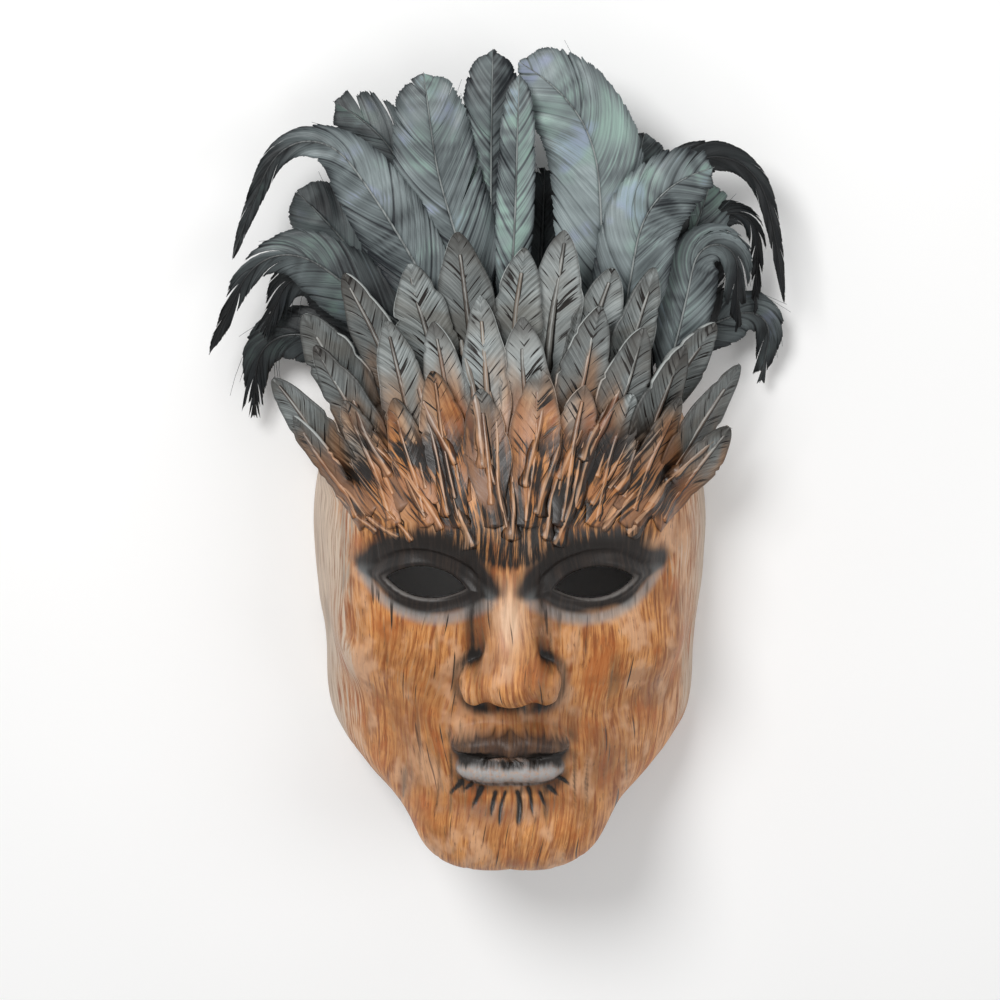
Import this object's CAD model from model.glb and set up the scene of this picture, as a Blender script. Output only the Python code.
"""A feathered face mask of painted cast rubber, lying on its back with the face up.

Shapes are worked out in millimetres in the face's own frame: x from the middle of the face, y up
from the bottom of the chin, z out of the face. make_piece() writes them to Blender in metres, in
the frame of the solids.
"""

import itertools
import math

import bpy
import numpy as np
from mathutils import Matrix, Vector
from mathutils.bvhtree import BVHTree


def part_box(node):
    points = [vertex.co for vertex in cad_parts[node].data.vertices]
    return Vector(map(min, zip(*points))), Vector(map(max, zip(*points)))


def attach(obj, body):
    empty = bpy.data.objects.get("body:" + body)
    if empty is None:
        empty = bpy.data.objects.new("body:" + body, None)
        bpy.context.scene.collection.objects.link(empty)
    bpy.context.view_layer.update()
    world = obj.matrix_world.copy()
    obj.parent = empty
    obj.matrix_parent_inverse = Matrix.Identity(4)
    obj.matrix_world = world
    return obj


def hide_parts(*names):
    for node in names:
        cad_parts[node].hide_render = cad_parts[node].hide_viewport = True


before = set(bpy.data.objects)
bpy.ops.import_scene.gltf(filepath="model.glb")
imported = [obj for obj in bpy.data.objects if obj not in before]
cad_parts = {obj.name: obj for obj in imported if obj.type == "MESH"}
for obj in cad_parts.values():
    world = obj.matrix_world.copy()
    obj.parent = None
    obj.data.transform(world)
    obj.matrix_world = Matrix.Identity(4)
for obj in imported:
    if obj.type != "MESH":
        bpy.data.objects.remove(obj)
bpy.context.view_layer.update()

# The face, as the solids have it
EYE_LINE = 119.5
ROOTS_MEET = 108.0
EYE_OFFSET = 34.0
BROW_LINE = 140.0
NOSE_BASE = 72.0
MOUTH_LINE = 50.6
MOUTH_HALF_WIDTH = 26.5
HEAD_HALF_WIDTH = 84.5
WALL = 3.2
CENTRE = np.array([0.0, 108.0, 0.0])
DOME = np.array([HEAD_HALF_WIDTH, 112.0, 92.0])
CHIN_EDGE_RISE = 27.0
CROWN_EDGE_RISE = 17.0
EYE_OPENING = {"half": 16.5, "rise": 7.2, "fall": 6.0, "slant": 4.0}
MOUTH_OPENING = {"half": 13.0, "rise": 1.3, "fall": 1.3, "slant": 0.0}
EYE_SLOPE = 0.07
STRAP_WIDTH = 19.0
STRAP_THICKNESS = 1.2

# The elastic lies evenly about the middle of the face, with its middle at the height of the eyes
strap_low, strap_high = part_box("head_strap")
ORIGIN = np.array([(strap_low.x + strap_high.x) / 2, (strap_low.y + strap_high.y) / 2 - EYE_LINE / 1000, 0])


# Camera, in metres: the photograph is taken from 13 degrees above the line straight out of the face

CAMERA_TILT = math.radians(13)
CAMERA_DISTANCE = 1.1
PICTURE_WIDTH = 0.41
CAMERA_AIM = (-0.0041, 0.1476, 0.05)
SENSOR = 36


def aim(direction):
    """Turn of a camera or light that looks back along a direction, with +Y up in its picture."""
    back = Vector(direction).normalized()
    up = (Vector((0, 1, 0)) - back * back.y).normalized()
    return Matrix((up.cross(back), up, back)).transposed().to_quaternion()


def make_camera():
    """The camera, which looks at the middle of the mask and its feathers."""
    data = bpy.data.cameras.new("camera")
    data.lens = SENSOR * CAMERA_DISTANCE / PICTURE_WIDTH
    camera = bpy.data.objects.new("camera", data)
    bpy.context.scene.collection.objects.link(camera)
    direction = Vector((0, math.sin(CAMERA_TILT), math.cos(CAMERA_TILT)))
    camera.location = Vector(CAMERA_AIM) + Vector(ORIGIN) + direction * CAMERA_DISTANCE
    camera.rotation_mode = "QUATERNION"
    camera.rotation_quaternion = aim(direction)
    bpy.context.scene.camera = camera


# Numbers in arrays


def smoothstep(value, low, high):
    """0 below low, 1 above high, and a smooth rise between them."""
    t = np.clip((value - low) / (high - low), 0, 1)
    return t * t * (3 - 2 * t)


def unit(vectors):
    """Vectors brought to a length of one."""
    return vectors / np.maximum(np.linalg.norm(vectors, axis=-1, keepdims=True), 1e-9)


NOISE_CELLS = 32


def lumps(points, size, seed):
    """Smooth noise from 0 to 1. size is the distance between its lumps, one number or one for each axis."""
    table = np.random.default_rng(seed).random((NOISE_CELLS, NOISE_CELLS, NOISE_CELLS))
    place = points / np.asarray(size, float)
    cell = np.floor(place).astype(int)
    part = place - cell
    part = part * part * (3 - 2 * part)
    total = np.zeros(len(points))
    for corner in itertools.product((0, 1), repeat=3):
        share = np.prod(np.where(corner, part, 1 - part), axis=1)
        i = (cell + corner) % NOISE_CELLS
        total += share * table[i[:, 0], i[:, 1], i[:, 2]]
    return total


# The form of the head: rough distances to rounded masses, negative inside


def ellipsoid(points, centre, radii, spin=0.0):
    """Distance to an ellipsoid that is turned by spin degrees in the picture plane."""
    q = points - np.array(centre, float)
    if spin:
        c, s = math.cos(math.radians(spin)), math.sin(math.radians(spin))
        q = np.stack([c * q[:, 0] + s * q[:, 1], -s * q[:, 0] + c * q[:, 1], q[:, 2]], 1)
    radii = np.array(radii, float)
    near = np.linalg.norm(q / radii, axis=1)
    slope = np.linalg.norm(q / radii**2, axis=1)
    return near * (near - 1) / np.maximum(slope, 1e-9)


def roll(points, start, end, start_radius, end_radius):
    """Distance to a round bar with another radius at each end."""
    start, end = np.array(start, float), np.array(end, float)
    along = end - start
    t = np.clip((points - start) @ along / (along @ along), 0, 1)
    away = np.linalg.norm(points - start - t[:, None] * along, axis=1)
    return away - start_radius - (end_radius - start_radius) * t


def add(a, b, fillet):
    """Distance to both masses together, with a fillet where they meet."""
    h = np.clip(0.5 + 0.5 * (b - a) / fillet, 0, 1)
    return b * (1 - h) + a * h - fillet * h * (1 - h)


def carve(a, b, fillet):
    """Distance to the first mass with the second taken out of it."""
    return -add(-a, b, fillet)


def folded(points):
    """The points brought to the right half of the face, which the left half mirrors."""
    p = points.copy()
    p[:, 0] = np.hypot(p[:, 0], 0.2)
    return p


def upper_lip(p):
    """Rough distance from the upper lip."""
    d = ellipsoid(p, (9, MOUTH_LINE + 5.8, 87.5), (14.5, 5.4, 9), -9)
    d = add(d, ellipsoid(p, (0, MOUTH_LINE + 4, 90), (5, 4.6, 8)), 4)
    return add(d, roll(p, (8, MOUTH_LINE + 4.4, 90), (MOUTH_HALF_WIDTH, MOUTH_LINE + 0.6, 79), 4.2, 1.2), 4)


def lower_lip(p):
    """Rough distance from the lower lip."""
    d = ellipsoid(p, (6.5, MOUTH_LINE - 6.2, 88.5), (15, 6, 8.6), 3)
    return add(d, roll(p, (6, MOUTH_LINE - 4.6, 89), (MOUTH_HALF_WIDTH - 1, MOUTH_LINE - 0.4, 79.5), 4, 1), 4)


def head(points):
    """Rough distance from the surface of the head, negative inside."""
    p = folded(points)
    d = ellipsoid(p, (0, 126, -8), (HEAD_HALF_WIDTH, 99, 97))  # skull
    d = add(d, ellipsoid(p, (0, 74, 0), (72.5, 74, 78)), 24)  # lower face
    d = add(d, roll(p, (17, 20, 62), (57, 50, 6), 17.5, 13), 30)  # jaw line
    d = add(d, ellipsoid(p, (0, 17.5, 68), (30, 17.5, 21)), 30)  # chin
    d = add(d, ellipsoid(p, (0, 52, 56), (36, 30, 34)), 16)  # curve of the teeth
    d = add(d, ellipsoid(p, (41, 95, 48), (25, 15, 19), -22), 20)  # cheekbone
    d = add(d, roll(p, (0, BROW_LINE, 80), (48, BROW_LINE + 1, 57), 10, 11), 16)  # brow ridge
    d = carve(d, ellipsoid(p, (EYE_OFFSET, EYE_LINE, 96), (20, 12, 21), -4), 12)  # eye socket
    d = carve(d, ellipsoid(p, (13, EYE_LINE + 2.5, 98), (6, 12, 12)), 8)  # beside the nose
    d = add(d, ellipsoid(p, (EYE_OFFSET, EYE_LINE, 60), (19, 15, 18.5)), 5)  # eyelids
    d = add(d, roll(p, (0, 131, 82), (0, 94, 94.5), 7.5, 10), 10)  # bridge of the nose
    d = add(d, ellipsoid(p, (0, NOSE_BASE + 13, 99), (12.5, 10.5, 13)), 8)  # tip of the nose
    d = add(d, ellipsoid(p, (13.5, NOSE_BASE + 8.5, 90.5), (7.8, 7.6, 11.5), 12), 5)  # wing of the nose
    d = carve(d, ellipsoid(p, (8.5, NOSE_BASE + 0.3, 94), (4, 4.6, 7)), 3)  # nostril
    d = carve(d, roll(p, (0, 71, 98), (0, 61, 98), 1.2, 2.5), 5)  # groove above the lip
    d = carve(d, roll(p, (22, 80, 93), (36, 55, 83), 0.5, 0.3), 8)  # fold beside the mouth
    d = add(add(d, upper_lip(p), 3.5), lower_lip(p), 3.5)
    mouth = roll(p, (0, MOUTH_LINE + 0.2, 101.5), (27.5, MOUTH_LINE, 86.5), 1.6, 0.8)
    d = carve(d, mouth, 3)  # line of the mouth
    return carve(d, ellipsoid(p, (0, 33, 97), (17, 3.2, 7)), 10)  # below the lower lip


def slopes(distance, points, step, axes):
    """How fast a distance grows along each of the axes."""
    rises = [distance(points + step * axis) - distance(points - step * axis) for axis in axes]
    return np.stack(rises, 1) / (2 * step)


def head_normal(points):
    """Directions straight out of the head at points on it."""
    return unit(slopes(head, points, 0.5, np.eye(3)))


def meet(origin, direction, start, low):
    """How far along their lines, from start down to low, points first meet the head."""
    t = np.full(len(origin), float(start))
    for _ in range(90):
        distance = np.maximum(head(origin + t[:, None] * direction), 0.02)
        t = np.where(t > low, t - 0.7 * distance, t)
    return np.maximum(t, low)


def height_at(x, y):
    """Height of the face over points of the plane it lies on."""
    x, y = np.broadcast_arrays(np.asarray(x, float), np.asarray(y, float))
    origin = np.stack([x.ravel(), y.ravel(), np.zeros(x.size)], 1)
    return meet(origin, np.array([0, 0, 1.0]), 125, -30).reshape(x.shape)


def crown_at(x, z):
    """How far up the face's plane the crown of the head ends."""
    return meet(np.array([[x, 0.0, z]]), np.array([0, 1.0, 0]), 240, 60)[0]


# Meshes


def make_piece(name, parts, materials, replaced):
    """One object from parts. Each part has points, lists of faces, and masks, which are values on its
    points that the materials read. A part may give each list of faces the number of its material."""
    points = np.vstack([part["points"] for part in parts])
    lists, numbers, count = [], [], 0
    for part in parts:
        for number, faces in zip(part.get("materials", itertools.repeat(0)), part["faces"]):
            lists.append(np.asarray(faces) + count)
            numbers += [number] * len(faces)
        count += len(part["points"])
    used = np.zeros(count, bool)
    for faces in lists:
        used[faces] = True
    place = np.cumsum(used) - 1
    faces = [face for some in lists for face in place[some].tolist()]
    mesh = bpy.data.meshes.new(name)
    mesh.from_pydata((points[used] / 1000 + ORIGIN).tolist(), [], faces)
    for key in sorted({key for part in parts for key in part["masks"]}):
        values = [np.broadcast_to(part["masks"].get(key, 0.0), len(part["points"])) for part in parts]
        layer = mesh.attributes.new(key, "FLOAT", "POINT")
        layer.data.foreach_set("value", np.concatenate(values)[used].astype(np.float32))
    for material in materials:
        mesh.materials.append(material)
    mesh.polygons.foreach_set("material_index", numbers)
    mesh.polygons.foreach_set("use_smooth", [True] * len(faces))
    mesh.update()
    piece = bpy.data.objects.new(name, mesh)
    bpy.context.scene.collection.objects.link(piece)
    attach(piece, "root")
    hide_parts(*replaced)
    return piece


def tube_faces(rings, around):
    """Faces of a closed tube: rings of points, then one point for each end."""
    i, k = np.meshgrid(np.arange(rings - 1), np.arange(around), indexing="ij")
    here, there = i * around + k, i * around + (k + 1) % around
    sides = np.stack([here, there, there + around, here + around], -1).reshape(-1, 4)
    k = np.arange(around)
    last = (rings - 1) * around
    start = np.stack([np.full(around, rings * around), (k + 1) % around, k], 1)
    end = np.stack([np.full(around, rings * around + 1), last + k, last + (k + 1) % around], 1)
    return [sides, start, end]


# The cast shell: a fan of rays from a point in the hollow, with more of them over the mouth

SPOKE_CROWDING = 0.32
FIRST_SPOKES = 24
OUTER_GRID = {"spokes": 384, "rings": 196}
INNER_GRID = {"spokes": 192, "rings": 90}
HOLLOW_REACH = 4.0


def spoke_counts(spokes, rings):
    """Rays in each ring, which double on the way out so that the faces stay about square."""
    counts = []
    for ring in range(1, rings + 1):
        fitting = 2 * math.pi * ring * spokes / (rings * 2)
        count = FIRST_SPOKES
        while count < spokes and count * 1.1 < fitting * 2:
            count *= 2
        if counts:
            count = min(max(count, counts[-1]), 2 * counts[-1])
        counts.append(count)
    return counts


def ray(spoke, share):
    """Direction of the ray at an angle round the face and a share of the way from its middle to the edge."""
    up = np.sin(spoke)
    chin = CHIN_EDGE_RISE * np.clip((-up - 0.62) / 0.38, 0, 1) ** 1.5
    crown = CROWN_EDGE_RISE * np.clip((up - 0.6) / 0.4, 0, 1) ** 1.3
    fall = share * (np.pi / 2 - np.radians(np.where(up < 0, chin, crown)))
    across = np.sin(fall)
    toward = [DOME[0] * across * np.cos(spoke), DOME[1] * across * up, DOME[2] * np.cos(fall)]
    return unit(np.stack(toward, -1))


def ray_grid(spokes, rings):
    """Angles of the rays, their shares, the triangles between them, and the numbers of the outermost ones."""
    turns, shares, faces = [np.zeros(1)], [np.zeros(1)], []
    counts = spoke_counts(spokes, rings)
    start = 1
    for ring, count in enumerate(counts, 1):
        even = np.arange(count) * 2 * np.pi / count
        turns.append(even - SPOKE_CROWDING * np.cos(even))
        shares.append(np.full(count, ring / rings))
        k = np.arange(count)
        after = (k + 1) % count
        if ring == 1:
            faces.append(np.stack([0 * k, start + k, start + after], 1))
        elif counts[ring - 2] == count:
            before = start - count
            faces.append(np.stack([before + k, start + k, start + after], 1))
            faces.append(np.stack([before + k, start + after, before + after], 1))
        else:
            half = count // 2
            before = start - half
            k = np.arange(half)
            after = (k + 1) % half
            faces.append(np.stack([before + k, start + 2 * k, start + 2 * k + 1], 1))
            faces.append(np.stack([before + k, start + 2 * k + 1, before + after], 1))
            faces.append(np.stack([before + after, start + 2 * k + 1, start + 2 * after], 1))
        start += count
    turns, shares = np.concatenate(turns), np.concatenate(shares)
    return turns, shares, np.vstack(faces), np.arange(start - counts[-1], start)


def head_radius(directions):
    """How far from the middle of the dome rays leave the head."""
    t = 1 / np.linalg.norm(directions / DOME, axis=1) + 30
    for _ in range(46):
        t -= 0.75 * head(CENTRE + t[:, None] * directions)
    return t


def leaf(points, x, y, opening, wider=0.0):
    """Rough distance in the picture plane from the outline of a leaf-shaped opening, negative inside."""
    turn = math.radians(opening["slant"])
    half, rise, fall = opening["half"] + wider, opening["rise"] + wider, opening["fall"] + wider
    across, up = np.abs(points[:, 0]) - x, points[:, 1] - y
    across, up = math.cos(turn) * across + math.sin(turn) * up, math.cos(turn) * up - math.sin(turn) * across
    top = (half**2 + rise**2) / (2 * rise)
    bottom = (half**2 + fall**2) / (2 * fall)
    above = np.hypot(across, up - rise + top) - top
    below = np.hypot(across, up + fall - bottom) - bottom
    return np.maximum(above, below)


def leaf_at(points, x, y, opening, wider=0.0):
    """The same for one opening, which lies at a side of the face or in its middle."""
    here = points[:, 0] * x >= 0
    return np.where(here, leaf(points, abs(x), y, opening, wider), 9.0)


def eye_gap(points):
    """How far points are from the edge of the nearer eye opening."""
    return leaf(points, EYE_OFFSET, EYE_LINE, EYE_OPENING)


def grain(points):
    """Fine lines of wood grain down the face, 0 to 1."""
    sway = (lumps(points, 40, 11) - 0.5) * 9
    place = np.stack([points[:, 0] + sway, points[:, 1], points[:, 2] * 0.5], 1)
    lines = 1 - smoothstep(lumps(place, (1.9, 30, 6), 12), 0.16, 0.4)
    return lines * smoothstep(lumps(points, (9, 26, 9), 13), 0.25, 0.6)


def chin_cuts(points):
    """Short carved cuts that fan out below the lower lip, 0 to 1."""
    x, y = points[:, 0], points[:, 1] - 66
    turn, reach = np.degrees(np.arctan2(x, -y)), np.hypot(x, y)
    depth = np.zeros(len(points))
    rng = np.random.default_rng(5)
    for centre in np.linspace(-38, 38, 10):
        centre += rng.uniform(-2.2, 2.2)
        first, last = rng.uniform(30, 34), rng.uniform(37, 48)
        width = rng.uniform(0.6, 1) * (1 - 0.4 * smoothstep(reach, first, last))
        bend = rng.uniform(-0.1, 0.3) * (reach - first) * np.sign(centre) + 0.6 * np.sin(reach / 2.5 + centre)
        off = (turn - centre - bend) * np.radians(1) * reach
        ends = smoothstep(reach, first - 1.5, first + 1.5) * (1 - smoothstep(reach, last - 5, last))
        depth = np.maximum(depth, np.exp(-((off / width) ** 2)) * ends)
    return depth * (points[:, 2] > 30)


def shell_relief(points):
    """Low relief over the form, in millimetres, and the masks that the paint takes from it: rims and
    creases of the eyelids, wood grain, cuts below the lower lip, and fine creases on the lips."""
    x, y = points[:, 0], points[:, 1]
    gap = eye_gap(points)
    over_eye = y - EYE_LINE - (np.abs(x) - EYE_OFFSET) * EYE_SLOPE
    lid_rim = 1.3 * np.exp(-(((gap - 1.6) / 1.5) ** 2))
    on_upper_lid = (over_eye > 0) * np.clip((y - EYE_LINE - 1.5) / 5, 0, 1)
    lid_crease = 1.3 * np.exp(-(((gap - 6.0) / 1.3) ** 2)) * on_upper_lid
    p = folded(points)
    up, low = upper_lip(p), lower_lip(p)
    lips = np.minimum(up, low)
    bare = smoothstep(gap, 3, 9) * smoothstep(lips, 0.5, 3)
    lines, cuts = grain(points) * bare, chin_cuts(points)
    wander = (lumps(points, (2.1, 14, 9), 31) - 0.5) / 0.09
    lip_creases = np.exp(-(wander**2)) * (1 - smoothstep(lips, 0.3, 1.2))
    uneven = (lumps(points, 13, 32) - 0.5) * 0.9
    cut_depth = 0.3 * lines + 0.9 * cuts + 0.2 * lip_creases
    height = lid_rim - lid_crease - cut_depth + uneven * bare
    masks = {
        "groove": np.clip(cut_depth, 0, 1),
        "bare": bare,
        "eye_gap": np.clip(gap, 0, 40),
        "eye_side": smoothstep(over_eye, -5, 5),
        "upper_lip": 1 - smoothstep(up, 0.2, 1.3),
        "lower_lip": 1 - smoothstep(low, 0.2, 1.3),
    }
    return height, masks


def open_up(points, normals, faces, *outline):
    """Takes out the faces inside an opening, given as for leaf_at(), and draws the edge that is left onto
    its outline. Gives the faces that stay and the points of the edge."""
    gap = leaf_at(points, *outline)
    near = np.where(points[:, 2] > 25, gap, 1.0)
    gone = near[faces].mean(1) < 0
    cut, kept = faces[gone], faces[~gone]
    edge = np.intersect1d(cut, kept)
    for _ in range(3):
        here = leaf_at(points[edge], *outline)
        slope = slopes(lambda p: leaf_at(p, *outline), points[edge], 0.05, np.eye(3)[:2])
        move = -here[:, None] * slope / np.maximum((slope**2).sum(1, keepdims=True), 0.05)
        n = normals[edge]
        points[edge, :2] += move
        points[edge, 2] -= (move * n[:, :2]).sum(1) / np.where(np.abs(n[:, 2]) < 0.2, 0.2, n[:, 2])
    return kept, edge


def loops_of(faces, edge):
    """The open edges of a mesh between the points of edge, as lists of points in walking order."""
    wanted = set(edge.tolist())
    sides = {}
    for a, b, c in faces[np.isin(faces, edge).sum(1) >= 2].tolist():
        for start, end in ((a, b), (b, c), (c, a)):
            if start in wanted and end in wanted:
                sides[start, end] = True
    after = {start: end for start, end in sides if (end, start) not in sides}
    loops = []
    while after:
        start = next(iter(after))
        loop = [start]
        while after.get(loop[-1]) is not None:
            end = after.pop(loop[-1])
            if end == start:
                break
            loop.append(end)
        loops.append(loop)
    return loops


def turns_of(points, loop, centre):
    """Angle round the centre of each point of a loop, counted on from the first and closed at the end."""
    off = points[loop][:, :2] - centre
    turn = np.unwrap(np.arctan2(off[:, 1], off[:, 0]))
    return np.append(turn, turn[0] + math.copysign(2 * np.pi, turn[-1] - turn[0]))


def bridge(points, first, second, centre):
    """Triangles between two loops of points that lie round the same centre, first one facing out."""
    a = turns_of(points, first, centre)
    way = math.copysign(1, a[-1] - a[0])
    b = turns_of(points, second, centre)
    if (b[-1] - b[0]) * way < 0:
        second = second[::-1]
        b = turns_of(points, second, centre)
    nearest = int(np.argmin(np.abs((b[:-1] - a[0] + np.pi) % (2 * np.pi) - np.pi)))
    second = second[nearest:] + second[:nearest]
    b = turns_of(points, second, centre)
    b += 2 * np.pi * round((a[0] - b[0]) / (2 * np.pi))
    faces, i, j = [], 0, 0
    while i < len(first) or j < len(second):
        next_a = way * a[i + 1] if i < len(first) else math.inf
        next_b = way * b[j + 1] if j < len(second) else math.inf
        here, there = first[i % len(first)], second[j % len(second)]
        if next_a <= next_b:
            i += 1
            faces.append((here, there, first[i % len(first)]))
        else:
            j += 1
            faces.append((here, there, second[j % len(second)]))
    return np.array(faces)


OPENINGS = [
    {"x": -EYE_OFFSET, "y": EYE_LINE, "outline": EYE_OPENING, "wider_inside": 0.8, "higher_inside": 0.0},
    {"x": EYE_OFFSET, "y": EYE_LINE, "outline": EYE_OPENING, "wider_inside": 0.8, "higher_inside": 0.0},
    {"x": 0.0, "y": MOUTH_LINE, "outline": MOUTH_OPENING, "wider_inside": 1.2, "higher_inside": 4.0},
]


def brushing(points):
    """Places across and along the brush strokes, which run down the face and fan out over the forehead,
    and how much of the dark wash the forehead and the brow take."""
    x, y, z = points.T
    around = 0.8 * np.clip(x / 30, -1, 1) * np.clip(50 - z, 0, 50)
    sway = 9 * (lumps(points, (34, 30, 40), 62) - 0.5) + 2.5 * (lumps(points, (14, 16, 20), 63) - 0.5)
    sway *= 0.25 + 0.75 * smoothstep(z, 25, 60)
    forehead = smoothstep(y, 137, 149) * (1 - smoothstep(y, 168, 198)) * (1 - smoothstep(np.abs(x), 62, 78))
    between = np.exp(-((x / 20) ** 2) - ((y - 142) / 11) ** 2)
    seam = np.exp(-((x / 6) ** 2)) * smoothstep(y, 128, 145) * (1 - smoothstep(y, 165, 190))
    low = np.exp(-(((y - 138) / 8) ** 2)) * (1 - smoothstep(np.abs(x), 50, 68))
    return {
        "flow": x * 37 / np.maximum(37, y - ROOTS_MEET) + around + sway,
        "down": y,
        "forehead": forehead,
        "brow": np.clip(between + seam + 0.95 * low, 0, 1),
    }


def paint_places(points):
    """Where the face is painted pale at its sides, streaked in front, and lit along the nose."""
    x, y, z = points.T
    reach = np.abs(x) + 10 * (lumps(points, (12, 30, 12), 61) - 0.5) - np.where(x < 0, 0, 8)
    return {
        "side": smoothstep(reach, 56, 80),
        "front": (1 - smoothstep(np.abs(x), 52, 72)) * smoothstep(z, 40, 56),
        "glow": np.exp(-((x / 6) ** 2) - ((y - 110) / 13) ** 2),
    }


def cast_shell(materials):
    """The face, the crown and the turned edge, hollow, with the eyes and the mouth open."""
    turns, shares, faces, rim = ray_grid(**OUTER_GRID)
    directions = ray(turns, shares)
    base = CENTRE + head_radius(directions)[:, None] * directions
    normals = head_normal(base)
    height, masks = shell_relief(base)
    outer = base + (height * (1 - smoothstep(shares, 0.97, 1)))[:, None] * normals
    masks["hollow"] = np.clip((HOLLOW_REACH - head(base + HOLLOW_REACH * normals)) / HOLLOW_REACH, -1, 1)
    masks["fade"] = grey_share(base)
    masks |= paint_places(base) | brushing(base)

    in_turns, in_shares, in_faces, in_rim = ray_grid(**INNER_GRID)
    near = []
    for spoke_step, ring_step in itertools.product((-0.05, 0, 0.05), (-0.025, 0, 0.025)):
        near.append(head_radius(ray(in_turns + spoke_step, np.clip(in_shares + ring_step, 0, 1))))
    in_directions = ray(in_turns, in_shares)
    inner = CENTRE + (np.min(near, 0) - WALL)[:, None] * in_directions

    walls = []
    count = len(outer)
    for opening in OPENINGS:
        x, y, outline = opening["x"], opening["y"], opening["outline"]
        faces, edge = open_up(outer, normals, faces, x, y, outline)
        in_y = y + opening["higher_inside"]
        in_faces, in_edge = open_up(inner, in_directions, in_faces, x, in_y, outline, opening["wider_inside"])
        first = max(loops_of(faces, edge), key=len)
        second = [i + count for i in max(loops_of(in_faces, in_edge), key=len)]
        walls.append(bridge(np.vstack([outer, inner]), first, second, np.array([x, y])))
    points = np.vstack([outer, inner])
    walls.append(bridge(points, rim.tolist(), (in_rim + count).tolist(), CENTRE[:2]))
    masks = {name: np.append(values, np.zeros(len(inner))) for name, values in masks.items()}
    part = {"points": points, "faces": [faces, np.vstack(walls), in_faces[:, ::-1] + count]}
    part |= {"masks": masks, "materials": [0, 0, 1]}
    return make_piece("cast_shell", [part], materials, ["mask_shell"])


# Moulded feathers of the brow, in three rows that fan out. The front row lies over the others.

# count and width: feathers in the row, and the width of each
# foot, tip: how far to the side the outermost ones are, how high up the face the row's middle is, and how
# much lower the outermost ones are
# over: least height over the face
# lift: how far out of the face the tips are, in the middle of the row and at its ends
BROW_ROWS = {
    "front": {
        "count": 10, "width": 19, "foot": (60, 147, 6), "tip": (88, 203, 22), "over": 2.8, "lift": (72, 48),
    },
    "middle": {
        "count": 10, "width": 21, "foot": (57, 156, 10), "tip": (95, 231, 30), "over": 1.8, "lift": (67, 44),
    },
    "back": {
        "count": 9, "width": 23, "foot": (50, 184, 14), "tip": (84, 258, 34), "over": 1, "lift": (64, 40),
    },
}
BLADE_STATIONS = 128
BLADE_TOP = 27
BLADE_UNDER = 9
FOOT_DEPTH = 14


def row_lines(row):
    """For each feather of a row: its place from side to side, -1 to 1, its foot and its tip on the face's
    plane, and how far out of that plane they are."""
    side = np.linspace(-1, 1, row["count"])
    ends = []
    for reach, height, drop in (row["foot"], row["tip"]):
        ends.append(np.stack([reach * side, height - drop * side**2], 1))
    foot, tip = ends
    stray = 7 * side + row["tip"][1]
    tip[:, 0] += 3 * np.sin(3 * stray)
    tip[:, 1] += 4.5 * np.sin(1.7 * stray)
    start = height_at(foot[:, 0], foot[:, 1]) - FOOT_DEPTH
    end = row["lift"][0] + (row["lift"][1] - row["lift"][0]) * side**2
    return side, foot, tip, start, end


def spines(row, lines, t):
    """Points on the middle lines of a row's feathers, at shares t of their length."""
    _, foot, tip, start, end = lines
    flat = foot[:, None] + (tip - foot)[:, None] * t[None, :, None]
    ground = height_at(flat[..., 0], flat[..., 1])
    free = start[:, None] + (end - start)[:, None] * t
    return np.dstack([flat, -add(-(ground + row["over"]), -free, 8)])


def frames(row, lines, t):
    """Points along the middle of each feather, with the directions across and out of it."""
    middle = spines(row, lines, t)
    along = unit(spines(row, lines, t + 0.02) - spines(row, lines, t - 0.02))
    normal = head_normal(middle.reshape(-1, 3)).reshape(middle.shape)
    across = unit(np.cross(along, normal))
    out = np.cross(across, along)
    for i, x in enumerate(lines[1][:, 0]):
        rng = np.random.default_rng(int(1000 + 10 * x + row["width"]))
        free = np.clip(t, 0, 1)[:, None]
        turn = np.radians(rng.uniform(-13, 13)) * free
        middle[i] += across[i] * rng.uniform(-3.5, 3.5) * free**2
        level, upright = across[i].copy(), out[i].copy()
        across[i] = np.cos(turn) * level + np.sin(turn) * upright
        out[i] = np.cos(turn) * upright - np.sin(turn) * level
    return middle, across, out


def grey_share(points):
    """How far the orange of the face has turned into the grey of the feathers, 0 to 1."""
    tongues = lumps(points, (8, 34, 14), 41) + 0.5 * lumps(points, (4, 14, 8), 42) - 0.75
    return smoothstep(points[:, 1] + 26 * (points[:, 0] / 85) ** 2 + 38 * tongues, 170, 214)


def barb_place(along, off):
    """How far up its quill the barb starts that passes a place, in millimetres along and off the quill."""
    return along - 1.25 * np.abs(off) + 0.02 * off**2


def blade_half_width(t):
    """Half the width of a moulded feather at shares of its length, of its widest."""
    opening = 0.4 + 0.6 * smoothstep(t, 0.0, 0.5)
    narrowing = np.clip(1 - (np.clip(t - 0.5, 0, 1) / 0.5) ** 2.1, 0, 1) ** 0.72
    return opening * narrowing


def blade_section():
    """Places round a moulded feather, from -1 to 1 across its top and back across its underside."""
    even = np.linspace(-1, 1, BLADE_TOP)
    top = 0.6 * even + 0.4 * np.sin(even * np.pi / 2)
    under = np.sin(np.linspace(1, -1, BLADE_UNDER) * np.pi / 2)
    return np.concatenate([top, under]), np.arange(BLADE_TOP + BLADE_UNDER) >= BLADE_TOP


def edge_nicks(rng, across, along, length):
    """How deep the edges of a moulded feather are nicked and waved, as a share of its half width."""
    nicks = np.zeros(across.shape)
    for side in (-1, 1):
        for place in rng.uniform(0.42, 0.9, 2):
            width, depth = rng.uniform(0.02, 0.05), rng.uniform(0.05, 0.16)
            nicks += (np.sign(across) == side) * depth * np.clip(1 - np.abs(along - place) / width, 0, 1)
    wave = 0.04 * np.sin(along * length / rng.uniform(2.6, 4) + rng.uniform(0, 6))
    return (nicks + wave) * np.abs(across) ** 3


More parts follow.
